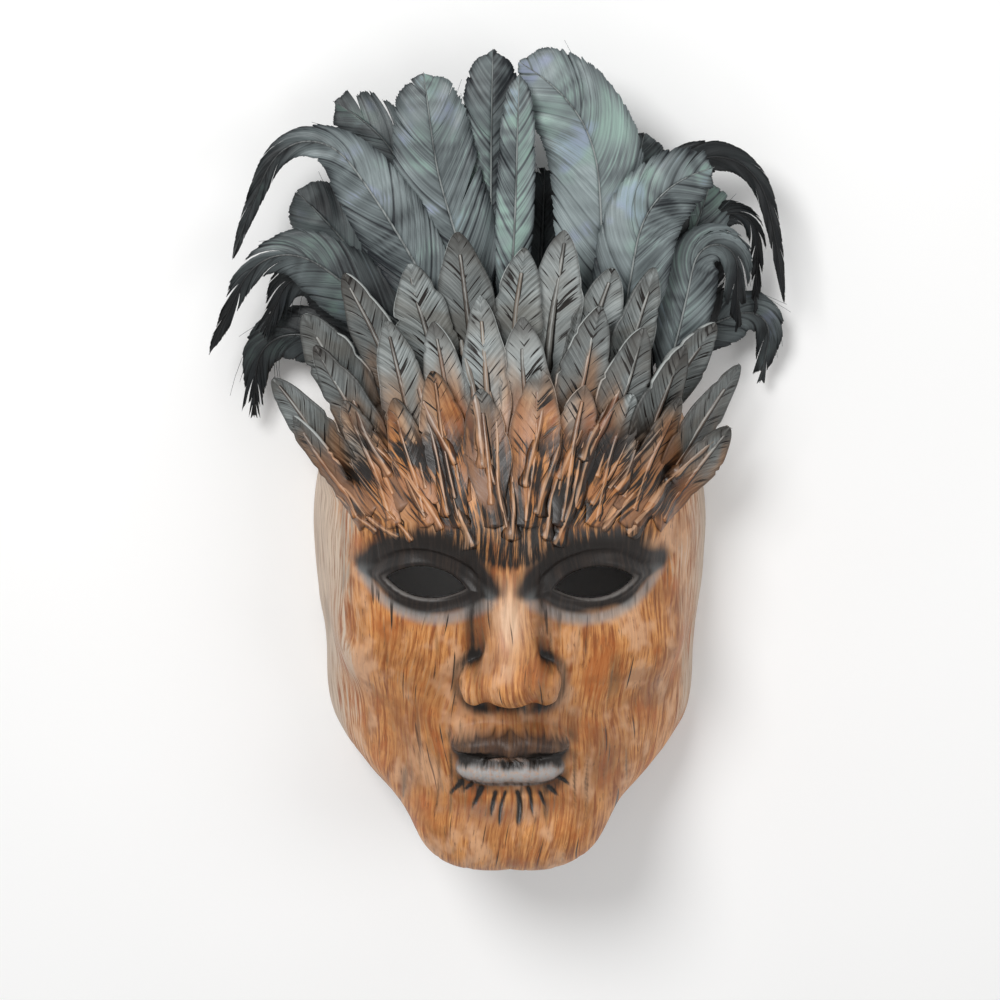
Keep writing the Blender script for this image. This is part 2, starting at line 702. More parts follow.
def moulded_feather(rng, seed, frame_lines, ends, length, half, t):
    """One moulded feather: a dished blade with grooves along its barbs, on a thick foot."""
    middle, across, out = frame_lines
    u, under = blade_section()
    uu, tt = np.meshgrid(u, t)
    nicks = edge_nicks(rng, uu, tt, length)
    broad = rng.uniform(0.88, 1.1)
    off = uu * half[:, None] * broad * (1 - nicks)
    barb = barb_place(tt * length, off).ravel()
    vane = np.abs(off).ravel() + 40 * (off > 0).ravel()
    open_part = smoothstep(tt, 0.3, 0.5) * (1 - 0.9 * np.abs(uu) ** 4)
    place = np.stack([barb, vane, np.full(off.size, 7.0 * seed)], 1)
    fine = (1 - smoothstep(lumps(place, (1.6, 16, 1), 51), 0.1, 0.55)).reshape(uu.shape) * open_part
    dish = 0.7 - 0.7 * np.sin(np.pi * np.clip(np.abs(uu), 0, 1) ** 0.8) - 0.15 * np.abs(uu)
    body = smoothstep(tt, 0.1, 0.4)
    top = dish * body + (0.8 - 1.4 * uu**2) * (1 - body) - 0.18 * fine
    place = np.stack([tt.ravel() * length, off.ravel(), np.full(off.size, 9.0 * seed)], 1)
    warp = 0.9 * (lumps(place, (14, 9, 1), 53) - 0.5)
    top += warp.reshape(uu.shape) * body
    low = -0.75 - 1.5 * (1 - np.abs(uu)) * (1 - 0.8 * smoothstep(tt, 0.7, 1))
    rise = np.where(under, low, top) * np.clip(half / 2, 0.25, 1)[:, None]
    points = middle[:, None] + across[:, None] * off[..., None] + out[:, None] * rise[..., None]
    masks = {
        "along": tt.ravel(),
        "groove": 0.25 * fine.ravel() * ~np.tile(under, len(t)),
        "open": (open_part * ~under).ravel(),
        "rim": (smoothstep(uu * rng.choice((-1, 1)), 0.93, 1) * smoothstep(tt, 0.25, 0.5)).ravel(),
        "shadow": np.maximum(smoothstep(np.abs(uu), 0.8, 1.0), np.tile(under, (len(t), 1))).ravel(),
        "barb": barb,
        "off": off.ravel(),
    }
    masks = {key: np.append(values, [values[0], values[-1]]) for key, values in masks.items()}
    points = np.vstack([points.reshape(-1, 3), ends])
    return {"points": points, "faces": tube_faces(len(t), len(u)), "masks": masks}


def moulded_row(name, materials):
    """One row of moulded feathers, as one piece."""
    row, number = BROW_ROWS[name], list(BROW_ROWS).index(name)
    lines = row_lines(row)
    sides, feet, tips = lines[:3]
    t = np.linspace(0, 0.994, BLADE_STATIONS)
    middle, across, out = frames(row, lines, t)
    ends = spines(row, lines, np.array([-0.02, 1.0]))
    half = row["width"] / 2 * blade_half_width(t)
    parts = []
    for i in range(row["count"]):
        seed = i + 20 * number
        rng = np.random.default_rng(600 + seed)
        length = np.linalg.norm(tips[i] - feet[i])
        part = moulded_feather(rng, seed, (middle[i], across[i], out[i]), ends[i], length, half, t)
        part["masks"]["light"] = rng.uniform(0, 1) * (1 - 0.8 * abs(sides[i]) ** 3)
        part["masks"]["off"] += 30 * i
        part["masks"] |= {"fade": grey_share(part["points"])} | brushing(part["points"])
        parts.append(part)
    return make_piece(f"moulded_feathers_{name}", parts, materials, ["mask_shell"])


# Section of a low ridge with a flat edge at both sides, in radii, and how bare of wash each point stays
RIDGE_SECTION = [
    [1.7, -0.35], [1.1, 0.02], [0.62, 0.42], [0, 0.6],
    [-0.62, 0.42], [-1.1, 0.02], [-1.6, -0.35], [0, -0.7],
]
RIDGE_BARE = [0.3, 0.2, 0.7, 1, 0.9, 0.4, 0.4, 0]


def cord_part(line, radius, section, masks):
    """A closed cord through points, with a radius and masks at each of them. Its section is in radii."""
    along = unit(np.gradient(line, axis=0))
    across = unit(np.cross(along, np.array([0.05, 0.02, 1.0])))
    out = np.cross(across, along)
    section = np.array(section)
    ring = across[:, None] * section[None, :, :1] + out[:, None] * section[None, :, 1:]
    points = line[:, None] + ring * radius[:, None, None]
    tips = np.stack([line[0] - along[0] * radius[0] * 0.6, line[-1] + along[-1] * radius[-1] * 0.6])
    values = {
        key: np.append(np.repeat(on_line, len(section)), [on_line[0], on_line[-1]])
        for key, on_line in masks.items()
    }
    points = np.vstack([points.reshape(-1, 3), tips])
    return {"points": points, "faces": tube_faces(len(line), len(section)), "masks": values}


def round_cord(line, radius, around, masks):
    """A cord whose section is some points on a circle."""
    turn = np.arange(around) * 2 * np.pi / around
    section = np.stack([np.cos(turn), np.sin(turn)], 1)
    return cord_part(line, radius, section, masks)


def ridge(line, radius, light):
    """A low ridge of the casting, painted as what it lies on."""
    part = cord_part(line, radius, RIDGE_SECTION, {})
    top = np.append(np.tile(RIDGE_BARE, len(line)), [0.5, 0.5])
    fade = grey_share(part["points"])
    part["masks"] = {"top": top, "light": light, "fade": fade} | brushing(part["points"])
    return part


def moulded_quills(materials):
    """The raised quills of the moulded feathers."""
    parts = []
    for number, row in enumerate(BROW_ROWS.values()):
        lines = row_lines(row)
        rng = np.random.default_rng(700 + number)
        for i in range(row["count"]):
            start = rng.uniform(0.02, 0.2)
            t = start + (rng.uniform(0.8, 0.94) - start) * np.linspace(0, 1, 48)
            one = tuple(each[i : i + 1] for each in lines)
            middle, across, out = (each[0] for each in frames(row, one, t))
            radius = rng.uniform(0.95, 1.3) * (1 - np.clip(t, 0, 1)) ** 0.7 + 0.2
            radius *= 1 + 0.14 * np.sin(t * 60 + rng.uniform(0, 6)) * (1 - smoothstep(t, 0.2, 0.5))
            sway = rng.uniform(-1, 1) * 0.9 * np.sin(t * 7 + rng.uniform(0, 6))
            line = middle + out * 0.45 + across * sway[:, None]
            parts.append(ridge(line, radius, rng.uniform(0, 1)))
    return make_piece("moulded_quills", parts, materials, ["mask_shell"])


ROOTS = 32
ROOTS_REACH = 60
LOWEST_ROOT = 12


def surface_of(piece):
    """The surface of a piece, to send rays at."""
    mesh = piece.data
    return BVHTree.FromPolygons([v.co for v in mesh.vertices], [f.vertices for f in mesh.polygons])


def top_of(trees, x, y):
    """Height of the highest of some surfaces over a point of the face's plane."""
    start = Vector(np.array([x, y, 150]) / 1000 + ORIGIN)
    hits = [tree.ray_cast(start, Vector((0, 0, -1)))[0] for tree in trees]
    return max([hit.z * 1000 for hit in hits if hit] or [0])


def brow_roots(materials, under):
    """Raised strands like roots, which run from between the moulded feathers down onto the brow, towards
    one place between the eyes, and end in rounded knobs. They lie on the pieces in under."""
    trees = [surface_of(piece) for piece in under]
    rng = np.random.default_rng(801)
    parts = []
    for i in range(ROOTS):
        side = (i + rng.uniform(0.1, 0.9)) / ROOTS * 2 - 1
        x, y = ROOTS_REACH * side, 138 + 32 * rng.uniform(0, 1) ** 1.6 - 3 * side**2
        heading = np.degrees(np.arctan2(x, y - ROOTS_MEET)) + rng.uniform(-10, 10)
        length = rng.uniform(20, 62)
        t = np.linspace(0, 1, int(12 + length))
        sway = rng.uniform(3, 11) * np.sin(t * rng.uniform(3, 9) + rng.uniform(0, 6))
        angle = np.radians(heading - 14 * side * t + sway)
        x = x + np.cumsum(np.sin(angle)) * length / len(t)
        y = y + np.cumsum(np.cos(angle)) * length / len(t)
        thick = rng.choice((rng.uniform(0.9, 1.3), rng.uniform(1.6, 2.3)))
        radius = thick * (1 - 0.7 * t) * (1 + 0.2 * np.sin(t * length / 2 + rng.uniform(0, 6)))
        radius += rng.uniform(0.1, 0.4) * thick * np.exp(-(((t - 0.03) * length / 2.6) ** 2))
        height = np.array([top_of(trees, *place) for place in zip(x, y)])
        if height.min() < LOWEST_ROOT:
            continue
        padded = np.pad(height, 3, mode="edge")
        height = np.maximum(height - 0.5, np.convolve(padded, np.ones(7) / 7, mode="valid"))
        line = np.stack([x, y, height + 0.05 * radius - 1.2 * t**4], 1)
        parts.append(ridge(line, radius, rng.uniform(0, 1)))
    return make_piece("brow_roots", parts, materials, ["mask_shell"])


# Loose feathers, each built of its barbs

# Widths of a vane along its quill: share of the length, share of the full width
BROAD = [
    [0, 0.07], [0.1, 0.12], [0.24, 0.76], [0.42, 1], [0.66, 1],
    [0.84, 0.88], [0.93, 0.68], [0.98, 0.4], [1, 0.0],
]
SICKLE = [
    [0, 0.07], [0.08, 0.12], [0.2, 0.84], [0.36, 1], [0.5, 0.84],
    [0.6, 0.5], [0.68, 0.34], [0.77, 0.26], [0.88, 0.18], [0.97, 0.07], [1, 0.03],
]
TUFT = [
    [0, 0.09], [0.1, 0.16], [0.26, 0.9], [0.44, 1], [0.58, 0.84],
    [0.68, 0.6], [0.77, 0.44], [0.88, 0.3], [0.97, 0.1], [1, 0.05],
]

# seat: x of the quill's foot, its height above the surface the mask lies on, how much higher the tip is
# size: length and full width
# lean: degrees from straight up the face towards +X at the foot, and how much more at the tip
# curl: degrees that it curls over on top of that, and from where to where on its length it does so
# vane: its outline
# black: how black it is at its middle and at its tip, 0 to 1
# loose: how far its barbs come apart, 0 to 1
# light: how much lighter than the others it is
LOOSE_FEATHERS = {
    "crest_middle": {
        "seat": (-9, 40, 2), "size": (117, 26), "lean": (2, -3), "curl": (2, 0.5, 1),
        "vane": BROAD, "black": (0.1, 0.3), "loose": 0.08, "light": -0.05,
    },
    "crest_slim": {
        "seat": (-2, 49.5, 3), "size": (113, 15), "lean": (4, 2), "curl": (-4, 0.2, 0.7),
        "vane": BROAD, "black": (0, 0.2), "loose": 0, "light": 0.05,
    },
    "crest_right": {
        "seat": (39, 41, 6), "size": (138, 38), "lean": (-1, -5), "curl": (-52, 0.5, 1),
        "vane": BROAD, "black": (0, 0.15), "loose": 0, "light": 0.17,
    },
    "crest_left": {
        "seat": (-9, 44.5, 0), "size": (114, 34), "lean": (-15, -3), "curl": (10, 0.5, 0.8),
        "vane": BROAD, "black": (0, 0.3), "loose": 0.14, "light": 0,
    },
    "middle_back": {
        "seat": (12, 26, 0), "size": (62, 26), "lean": (2, 0), "curl": (0, 0, 1),
        "vane": BROAD, "black": (0.85, 0.9), "loose": 0.3, "light": 0,
    },
    "left_sickle": {
        "seat": (-19, 49, -8), "size": (173, 30), "lean": (-22, -27), "curl": (-112, 0.5, 0.8),
        "vane": SICKLE, "black": (0.1, 0.9), "loose": 0.12, "light": 0.02,
    },
    "left_shoulder": {
        "seat": (-19, 35, -6), "size": (112, 28), "lean": (-23, 12), "curl": (-50, 0.5, 1),
        "vane": BROAD, "black": (0.2, 0.7), "loose": 0.2, "light": 0,
    },
    "left_drooping": {
        "seat": (-28, 40, -8), "size": (132, 29), "lean": (-55, 6), "curl": (-105, 0.4, 0.8),
        "vane": SICKLE, "black": (0.6, 1), "loose": 0.3, "light": 0,
    },
    "left_hanging": {
        "seat": (-38, 30, -8), "size": (89, 26), "lean": (-52, -10), "curl": (-97, 0.5, 0.8),
        "vane": TUFT, "black": (0.85, 1), "loose": 0.9, "light": 0,
    },
    "left_fill": {
        "seat": (-33, 25, -6), "size": (76, 30), "lean": (-17, -6), "curl": (-14, 0.5, 0.8),
        "vane": BROAD, "black": (0, 0.3), "loose": 0, "light": 0,
    },
    "left_back": {
        "seat": (-40, 15, -3), "size": (76, 31), "lean": (-37, 0), "curl": (-12, 0.5, 1),
        "vane": BROAD, "black": (0.5, 0.6), "loose": 0, "light": 0,
    },
    "left_low": {
        "seat": (-48, 20, -8), "size": (88, 24), "lean": (-75, -19), "curl": (-84, 0.4, 0.8),
        "vane": TUFT, "black": (0.85, 1), "loose": 1, "light": 0,
    },
    "right_sickle": {
        "seat": (60, 32, -8), "size": (187, 25), "lean": (-7, 40), "curl": (141, 0.4, 0.8),
        "vane": SICKLE, "black": (0.95, 1), "loose": 0.12, "light": 0,
    },
    "right_shoulder": {
        "seat": (42, 45.5, 2), "size": (106, 31), "lean": (8, 2), "curl": (64, 0.5, 1),
        "vane": BROAD, "black": (0, 0.25), "loose": 0.22, "light": 0.1,
    },
    "right_upright": {
        "seat": (48, 27.5, -6), "size": (82, 28), "lean": (27, 0), "curl": (-8, 0.5, 1),
        "vane": BROAD, "black": (0, 0.3), "loose": 0.1, "light": 0.14,
    },
    "right_hanging": {
        "seat": (60, 36.5, -8), "size": (119, 24), "lean": (16, -10), "curl": (172, 0.5, 0.8),
        "vane": TUFT, "black": (0.15, 1), "loose": 0.6, "light": 0,
    },
    "right_drooping": {
        "seat": (67, 23, -8), "size": (139, 23), "lean": (12, -4), "curl": (172, 0.5, 0.8),
        "vane": SICKLE, "black": (0.9, 1), "loose": 0.7, "light": 0,
    },
    "right_fill": {
        "seat": (29, 18.5, -4), "size": (82, 31), "lean": (21, 0), "curl": (-6, 0.5, 0.8),
        "vane": BROAD, "black": (0, 0.3), "loose": 0, "light": 0,
    },
    "right_low": {
        "seat": (52, 16.5, -8), "size": (87, 23), "lean": (65, 10), "curl": (115, 0.5, 0.8),
        "vane": TUFT, "black": (0.55, 0.85), "loose": 0.7, "light": 0,
    },
}
QUILL_CLEARANCE = 2.4
VANE_CUP = 0.18
BARB_GAP = 0.62
BARB_STATIONS = 9
BARB_SHARES = np.linspace(0, 1, BARB_STATIONS)
FIRST_BARB = 0.085
LAST_BARB = 0.985
SEAMS = 60
VANE_THICKNESS = 0.3


def quill_line(seat, size, lean, curl):
    """The middle line of a feather: points and headings at even shares of its length."""
    t = np.linspace(0, 1, 101)
    angle = np.radians(lean[0] + lean[1] * t + curl[0] * smoothstep(t, curl[1], curl[2]))
    step = size[0] / 100
    x = seat[0] + np.append(0, np.cumsum(np.sin(angle[:-1]))) * step
    y = crown_at(seat[0], seat[1]) + QUILL_CLEARANCE + np.append(0, np.cumsum(np.cos(angle[:-1]))) * step
    return np.stack([x, y, seat[1] + seat[2] * t**2], 1), angle


def along_quill(line, angle, length, t):
    """Point, and direction across, at any share of the quill's length and beyond its tip."""
    shares = np.linspace(0, 1, len(line))
    inside = np.clip(t, 0, 1)
    point = np.stack([np.interp(inside, shares, line[:, k]) for k in range(3)], -1)
    turn = np.interp(inside, shares, angle)
    along = np.stack([np.sin(turn), np.cos(turn), 0 * turn], -1)
    across = np.stack([np.cos(turn), -np.sin(turn), 0 * turn], -1)
    return point + along * ((t - inside) * length)[..., None], across


def sheet_faces(lines, stations, flipped):
    """Faces of a closed sheet: a grid of points for its top, then the same grid for its underside."""
    i, j = np.meshgrid(np.arange(lines - 1), np.arange(stations - 1), indexing="ij")
    here = i * stations + j
    top = np.stack([here, here + 1, here + stations + 1, here + stations], -1).reshape(-1, 4)
    under = lines * stations
    i, j = np.arange(lines - 1) * stations, np.arange(stations - 1)
    last = (lines - 1) * stations
    ends = [(j, j + 1), (last + j + 1, last + j)]
    sides = [(i + stations, i), (i + stations - 1, i + 2 * stations - 1)]
    border = [np.stack([b, a, a + under, b + under], 1) for a, b in ends + sides]
    faces = np.vstack([top, top[:, ::-1] + under, *border])
    return faces[:, ::-1] if flipped else faces


def vane_reach(outline, starts, sweep, length):
    """How far out barbs reach so that their ends lie on the feather's outline."""
    shares, widths = outline
    reach = np.interp(starts, shares, widths)
    for _ in range(30):
        reach += 0.2 * (np.interp(starts + sweep * reach / length, shares, widths) - reach)
    return reach


def vane_outline(vane, width):
    """Shares of a feather's length, and how far out its vane reaches there, rounded off at the tip."""
    shares = np.linspace(0, 1, 201)
    widths = np.interp(shares, *np.array(vane).T)
    widths = np.convolve(np.pad(widths, 5, mode="edge"), np.ones(11) / 11, mode="valid") * width / 2
    return shares, widths * np.clip((1 - shares) / 0.03, 0, 1) ** 0.5


def blackness(spec, t):
    """How black a feather is at shares of its length."""
    middle, tip = spec["black"]
    return middle + (tip - middle) * smoothstep(t, 0.45, 0.8)


def tip_fall(spec, t):
    """How far the tip of a broad feather bows down."""
    return 4 * smoothstep(t, 0.78, 1.02) * (spec["vane"] is BROAD)


def feather_plan(rng, spec):
    """What the barbs of a feather share: its quill, its outline, how far they slant forward, its soft folds,
    and the seams where they part."""
    length, width = spec["size"]
    line, angle = quill_line(spec["seat"], spec["size"], spec["lean"], spec["curl"])
    sweep, folds, phase = rng.uniform(1.45, 1.8), rng.uniform(0.5, 1.0), rng.uniform(0, 6)
    seams, depths = 0.1 + np.cumsum(rng.uniform(2.5, 14, SEAMS)) / length, rng.uniform(0, 1, SEAMS)
    return {
        "spec": spec, "length": length, "width": width, "quill": (line, angle, length),
        "outline": vane_outline(spec["vane"], width),
        "sweep": sweep, "folds": folds, "phase": phase, "seams": seams, "depths": depths,
    }


def barb_tone(rng, plan, t, seam, side, seed):
    """How light each point of some barbs is: broad and fine patches along them, a darker foot and edge."""
    s = np.tile(BARB_SHARES, len(t))
    place = [t * plan["length"], 14 * np.broadcast_to(BARB_SHARES, t.shape) + 30 * side, 0 * t + 11 * seed]
    place = np.stack(place, -1).reshape(-1, 3)
    tone = 0.43 + plan["spec"]["light"] + 0.55 * (lumps(place, (16, 17, 1), 71) - 0.5)
    tone += 0.34 * (lumps(place, (2.6, 12, 1), 72) - 0.5)
    tone -= 0.25 * (1 - smoothstep(t.ravel(), 0.12, 0.4)) + 0.3 * smoothstep(s, 0.75, 1)
    return np.clip(tone + np.repeat(rng.normal(0, 0.08, len(t)) - 0.5 * seam, BARB_STATIONS), 0, 1)


def barb_clump(rng, plan, side, first, seed):
    """A sheet of barbs that hang together, on one side of the quill from a share of its length on, and the
    number of its barbs."""
    spec, length, half_width = plan["spec"], plan["length"], plan["width"] / 2
    s = BARB_SHARES
    apart = spec["loose"] * smoothstep(first, 0.4, 0.6)
    barbs = int(rng.integers(30, 70) * (1 - apart) + rng.integers(7, 15) * apart)
    starts = first + BARB_GAP / length * np.arange(-1, barbs + 1)
    starts = starts[starts < 0.998]
    trail = (spec["vane"] is not BROAD) * smoothstep(starts, 0.36, 0.6)
    sweep = plan["sweep"] + 2.7 * trail + rng.normal(0, 0.02)
    reach = vane_reach(plan["outline"], starts, sweep, length)
    reach = reach * (1 + apart**2 * rng.uniform(-0.25, 0.4)) + 0.2
    nearest = np.abs(starts[:, None] - plan["seams"] - side * 0.01).argmin(1)
    past_seam = starts - plan["seams"][nearest] - side * 0.01
    seam = plan["depths"][nearest] * np.exp(-((past_seam * length / 0.8) ** 2))
    reach *= (1 + rng.normal(0, 0.01 + 0.03 * apart, len(starts))) * (1 - 0.1 * seam)
    gather = 0.2 * (rng.random() < 0.12) * (first < 0.7) + apart * rng.uniform(0.5, 0.85)
    bend = 0.12 + 0.5 * trail[:, None]
    forward = (sweep * reach)[:, None] / length * ((1 - bend) * s + bend * s**2)
    t = starts[:, None] + forward + (starts.mean() - starts)[:, None] * gather * s**2
    off = reach[:, None] * (s - 0.12 * s**2) / 0.88
    point, across = along_quill(*plan["quill"], t)
    point = point + across * (side * off)[..., None]
    ripple = np.sin(starts * length / 4.2 + plan["phase"] + 2 * np.sin(starts * 9))
    fold = -0.5 * seam + plan["folds"] * ripple * (1 - 0.5 * apart)
    every_other = np.where(np.arange(len(starts)) % 2, 0.045, -0.045)
    point[..., 2] += 0.3 - VANE_CUP * half_width * (off / half_width) ** 2
    point[..., 2] += rng.normal(0, 0.12 + 0.8 * apart) * s + fold[:, None] * s**1.5
    point[..., 2] += every_other[:, None] * (0.4 + 0.6 * s) - tip_fall(spec, t)
    under = point.copy()
    under[..., 2] -= VANE_THICKNESS * (1 - 0.6 * s)
    masks = {
        "tone": barb_tone(rng, plan, t, seam, side, seed),
        "shade": np.repeat(blackness(spec, starts), BARB_STATIONS),
    }
    masks = {key: np.tile(values, 2) for key, values in masks.items()}
    points = np.concatenate([point.reshape(-1, 3), under.reshape(-1, 3)])
    faces = sheet_faces(len(starts), BARB_STATIONS, side < 0)
    return {"points": points, "faces": [faces], "masks": masks}, barbs


def stray_barb(rng, plan):
    """One barb that has come loose and stands out past the edge of the vane."""
    length, loose = plan["length"], plan["spec"]["loose"]
    start, side = rng.uniform(0.2, 0.88), rng.choice((-1, 1))
    s = np.linspace(0, rng.uniform(0.8, 1), 7)
    reach = np.interp(start + 0.1, *plan["outline"]) * rng.uniform(1.0, 1.12) + rng.uniform(0, 0.8)
    sweep = plan["sweep"] + 2 * loose + rng.normal(0, 0.3)
    t = start + sweep * reach / length * (0.5 * s + 0.5 * s**2)
    point, across = along_quill(*plan["quill"], t)
    point = point + across * (side * reach * s)[:, None]
    point[:, 2] += 0.3 + rng.normal(0, 0.9) * s**2 - 0.14 * reach * s**2
    barb = round_cord(point, 0.16 * (1 - 0.6 * s), 4, {})
    barb["masks"] |= {"shade": blackness(plan["spec"], start), "tone": 0.4}
    return barb


def loose_feather(name, spec, seed, materials):
    """One black feather: clumps of barbs along both sides of its quill, and a few stray ones."""
    rng = np.random.default_rng(seed)
    plan = feather_plan(rng, spec)
    parts = []
    for side in (-1, 1):
        first = FIRST_BARB
        while first < LAST_BARB:
            part, barbs = barb_clump(rng, plan, side, first, seed)
            parts.append(part)
            first += BARB_GAP / plan["length"] * barbs
    for _ in range(int(2 + 7 * spec["loose"])):
        parts.append(stray_barb(rng, plan))
    t = np.linspace(0, 1, 60)
    stem, _ = along_quill(*plan["quill"], t)
    stem[:, 2] += 0.4 - tip_fall(spec, t)
    quill = round_cord(stem, 0.45 * (1 - t) ** 0.6 + 0.12, 8, {"shade": blackness(spec, t)})
    quill["materials"] = [1, 1, 1]
    return make_piece(f"plume_{name}", parts + [quill], materials, [f"feather_{name}"])


# The elastic


def between(a, b, start, end, t):
    """The point at t on the line that passes a at start and b at end."""
    return (end - t) / (end - start) * a + (t - start) / (end - start) * b


def catmull(stops, steps):
    """Points on a smooth curve through stops, evenly spaced along it."""
    stops = np.array(stops, float)
    stops = np.vstack([2 * stops[0] - stops[1], stops, 2 * stops[-1] - stops[-2]])
    knots = np.append(0, np.cumsum(np.linalg.norm(np.diff(stops, axis=0), axis=1) ** 0.5))
    curve = []
    for i in range(1, len(stops) - 2):
        k = knots[i - 1 : i + 3]
        for t in np.linspace(k[1], k[2], 40, endpoint=i == len(stops) - 3):
            p = stops[i - 1 : i + 3]
            a = [between(p[j], p[j + 1], k[j], k[j + 1], t) for j in range(3)]
            b = [between(a[0], a[1], k[0], k[2], t), between(a[1], a[2], k[1], k[3], t)]
            curve.append(between(b[0], b[1], k[1], k[2], t))
    curve = np.array(curve)
    run = np.append(0, np.cumsum(np.linalg.norm(np.diff(curve, axis=0), axis=1)))
    even = np.linspace(0, run[-1], steps)
    return np.stack([np.interp(even, run, curve[:, 0]), np.interp(even, run, curve[:, 1])], 1), even


STRAP_GAP = 1.4
STRAP_RIBS = 11
RIB_HEIGHT = 0.13
RIPPLE_PITCH = 1.6


def wall_at(z):
    """How far from the middle the elastic is where it lies along the shell's inside, at a height z."""
    outside = meet(np.array([[0, EYE_LINE, z]]), np.array([1.0, 0, 0]), 100, 0)[0]
    return outside - WALL - STRAP_GAP - STRAP_THICKNESS


def elastic_strap(materials):
    """The flat elastic, which lies slack in the hollow from one side of the shell to the other."""
    half = [
        (0, 8), (20, 3.6), (38, 0.9), (54, 1.5),
        (wall_at(12) - 3, 9), (wall_at(20) - 0.4, 20), (wall_at(38) - 1.2, 38),
    ]
    route = [(-x, z) for x, z in half[:0:-1]] + half
    line, run = catmull(route, 220)
    line[:, 1] = np.maximum(line[:, 1], 0.9)
    slope = unit(np.gradient(line, axis=0))
    out = np.stack([-slope[:, 1], slope[:, 0]], 1)
    v = np.linspace(-1, 1, 33)
    ribs = RIB_HEIGHT * np.abs(np.sin(v * STRAP_RIBS * np.pi / 2)) - RIB_HEIGHT
    edge = 0.35 * (1 - np.abs(v) ** 14)
    thickness = STRAP_THICKNESS / 2 * (0.65 + edge)
    weave = 0.05 * np.sin(run * 2 * np.pi / RIPPLE_PITCH)
    offsets = np.concatenate([thickness + ribs, -(thickness + ribs)[::-1]])
    places = np.concatenate([v, v[::-1]]) * STRAP_WIDTH / 2
    rings = []
    for (x, z), (ox, oz), ripple in zip(line, out, weave):
        lift = offsets + ripple * np.sign(offsets)
        rings.append(np.stack([x + ox * lift, EYE_LINE + places, z + oz * lift], 1))
    rings = np.array(rings)
    ends = [rings[0].mean(0), rings[-1].mean(0)]
    points = np.vstack([rings.reshape(-1, 3), ends])
    masks = {
        "run": np.append(np.repeat(run, rings.shape[1]), [0, run[-1]]),
        "across": np.append(np.tile(places, len(rings)), [0, 0]),
    }
    sides, first, last = tube_faces(len(rings), rings.shape[1])
    part = {"points": points, "faces": [sides[:, ::-1], first[:, ::-1], last[:, ::-1]], "masks": masks}
    return make_piece("elastic_band", [part], materials, ["head_strap"])


# Nodes


def node(tree, kind, inputs=None, **settings):
    """Adds a node. Each input is given by name or number, as a value or as the socket that feeds it."""
    made = tree.nodes.new(kind)
    for key, value in settings.items():
        setattr(made, key, value)
    for key, value in (inputs or {}).items():
        if isinstance(value, bpy.types.NodeSocket):
            tree.links.new(value, made.inputs[key])
        else:
            made.inputs[key].default_value = value
    return made


def maths(tree, operation, a, b=0.0):
    """Works out one value from one or two others."""
    return node(tree, "ShaderNodeMath", {0: a, 1: b}, operation=operation).outputs[0]


def plus(tree, a, b):
    return maths(tree, "ADD", a, b)


def minus(tree, a, b):
    return maths(tree, "SUBTRACT", a, b)


def times(tree, a, b):
    return maths(tree, "MULTIPLY", a, b)


def larger(tree, a, b):
    return maths(tree, "MAXIMUM", a, b)


def fit(tree, value, low, high, start=0.0, end=1.0):
    """Brings a value from low..high to start..end, with soft ends."""
    inputs = {0: value, 1: low, 2: high, 3: start, 4: end}
    return node(tree, "ShaderNodeMapRange", inputs, interpolation_type="SMOOTHSTEP").outputs[0]


def mix(tree, share, a, b):
    """A colour that goes from a to b as the share goes from 0 to 1."""
    made = node(tree, "ShaderNodeMix", {0: share, 6: a, 7: b}, data_type="RGBA", clamp_factor=True)
    return made.outputs[2]


def mask(tree, name):
    """Reads one of the masks that the points of a piece carry."""
    return node(tree, "ShaderNodeAttribute", attribute_name=name).outputs["Fac"]


def noise(tree, place, scale, detail=2.0, roughness=0.5):
    """Cloudy noise between 0 and 1."""
    inputs = {"Vector": place, "Scale": scale, "Detail": detail, "Roughness": roughness}
    return node(tree, "ShaderNodeTexNoise", inputs).outputs[0]


def stretched(tree, place, scale):
    """A place with each of its axes multiplied by its own number."""
    return node(tree, "ShaderNodeVectorMath", {0: place, 1: scale}, operation="MULTIPLY").outputs[0]


def paint(code, strength=1.0):
    """Colour in linear light from a six-digit code."""
    parts = [int(code[i : i + 2], 16) / 255 for i in (0, 2, 4)]
    return (*[strength * (c / 12.92 if c <= 0.04045 else ((c + 0.055) / 1.055) ** 2.4) for c in parts], 1.0)


def new_group(name, inputs, outputs):
    """Starts a node group, whose inputs and outputs are given as name: kind. Gives the group, the sockets
    that hand over its inputs and the sockets that take its outputs."""
    group = bpy.data.node_groups.new(name, "ShaderNodeTree")
    kinds = {"colour": "NodeSocketColor", "value": "NodeSocketFloat", "vector": "NodeSocketVector"}
    for way, sockets in (("INPUT", inputs), ("OUTPUT", outputs)):
        for socket, kind in sockets.items():
            group.interface.new_socket(socket, in_out=way, socket_type=kinds[kind])
    return group, group.nodes.new("NodeGroupInput").outputs, group.nodes.new("NodeGroupOutput").inputs


def grouped(tree, group, inputs):
    """Uses a node group in a tree and gives its outputs."""
    return node(tree, "ShaderNodeGroup", inputs, node_tree=group).outputs


